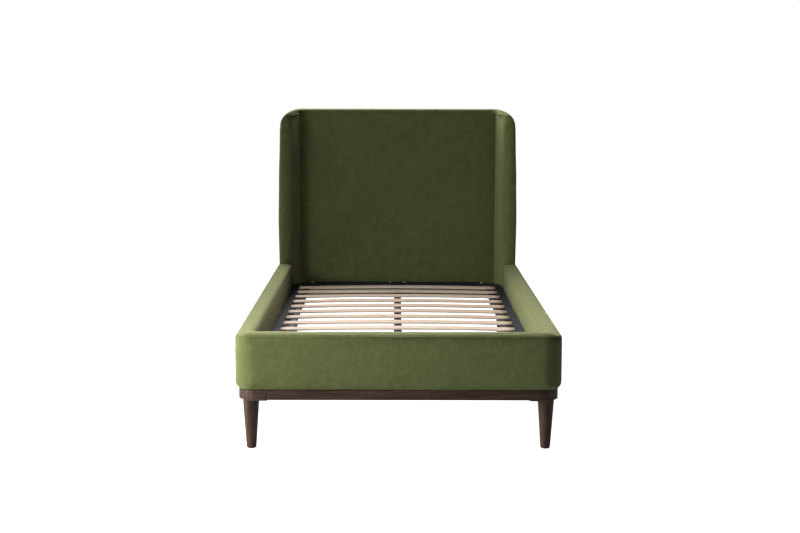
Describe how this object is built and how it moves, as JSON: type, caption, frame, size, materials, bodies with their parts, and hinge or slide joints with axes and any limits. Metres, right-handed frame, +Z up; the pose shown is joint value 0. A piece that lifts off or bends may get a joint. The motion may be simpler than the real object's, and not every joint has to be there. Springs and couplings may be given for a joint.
{
  "type": "upholstered headboard bed",
  "caption": "Single bed frame: padded velvet rails and winged headboard on a dark wood plinth with turned legs, holding a sprung slat base on a levelled centre leg.",
  "frame": {"origin": "on the floor under the middle of the bed's length and width", "axes": "+X to the right seen from the foot, +Y from the foot rail to the headboard, +Z up"},
  "size_m": [1.05, 2.09, 1.046],
  "materials": {
    "velvet": "short-pile velvet, olive green, strong sheen at grazing angles",
    "walnut": "dark walnut stain, satin lacquer",
    "softwood": "planed softwood, unfinished",
    "plywood": "plywood, unfinished",
    "beech": "laminated beech, thin satin coat",
    "frame_paint": "blue-black powder coat, satin",
    "zinc": "bright zinc plate",
    "black_plastic": "moulded black plastic, fine matt grain"
  },
  "bodies": {
    "bed": {"foot_rail_cover": "velvet", "foot_rail_core": "softwood", "left_rail_cover": "velvet", "left_rail_core": "softwood", "right_rail_cover": "velvet", "right_rail_core": "softwood", "left_head_plate": "zinc", "left_foot_bracket": "zinc", "left_ledge": "frame_paint", "left_stile": "softwood", "left_wing_board": "plywood", "left_wing_pad": "velvet", "right_head_plate": "zinc", "right_foot_bracket": "zinc", "right_ledge": "frame_paint", "right_stile": "softwood", "right_wing_board": "plywood", "right_wing_pad": "velvet", "bottom_batten": "softwood", "middle_batten": "softwood", "top_batten": "softwood", "headboard_board": "plywood", "panel_pad": "velvet", "headboard_border": "velvet", "headboard_back_cover": "velvet", "front_apron": "walnut", "left_apron": "walnut", "right_apron": "walnut", "front_left_block": "walnut", "front_left_leg": "walnut", "front_left_leg_bolt": "zinc", "front_right_block": "walnut", "front_right_leg": "walnut", "front_right_leg_bolt": "zinc", "back_left_block": "walnut", "back_left_leg": "walnut", "back_left_leg_bolt": "zinc", "back_right_block": "walnut", "back_right_leg": "walnut", "back_right_leg_bolt": "zinc", "slat_frame": "frame_paint", "slat_01": "beech", "slat_02": "beech", "slat_03": "beech", "slat_04": "beech", "slat_05": "beech", "slat_06": "beech", "slat_07": "beech", "slat_08": "beech", "slat_09": "beech", "slat_10": "beech", "slat_11": "beech", "slat_12": "beech", "slat_13": "beech", "centre_rail": "frame_paint", "centre_leg": "frame_paint", "lock_nut": "zinc"},
    "foot_pad": {"levelling_pad": "black_plastic"},
    "foot_stem": {"levelling_stem": "zinc"}
  },
  "joints": [
    {"name": "foot_height", "type": "slide", "parent": "bed", "child": "foot_pad", "axis": [0, 0, 1], "range_m": [0, 0.012]},
    {"name": "stem_turn", "type": "hinge", "parent": "foot_pad", "child": "foot_stem", "pos_m": [0, 0.055, 0.02], "axis": [0, 0, 1], "range_deg": [0, 2881]}
  ],
  "couplings": [
    {"joint": "stem_turn", "follows": "foot_height", "rad_per_m": 4188.8}
  ]
}
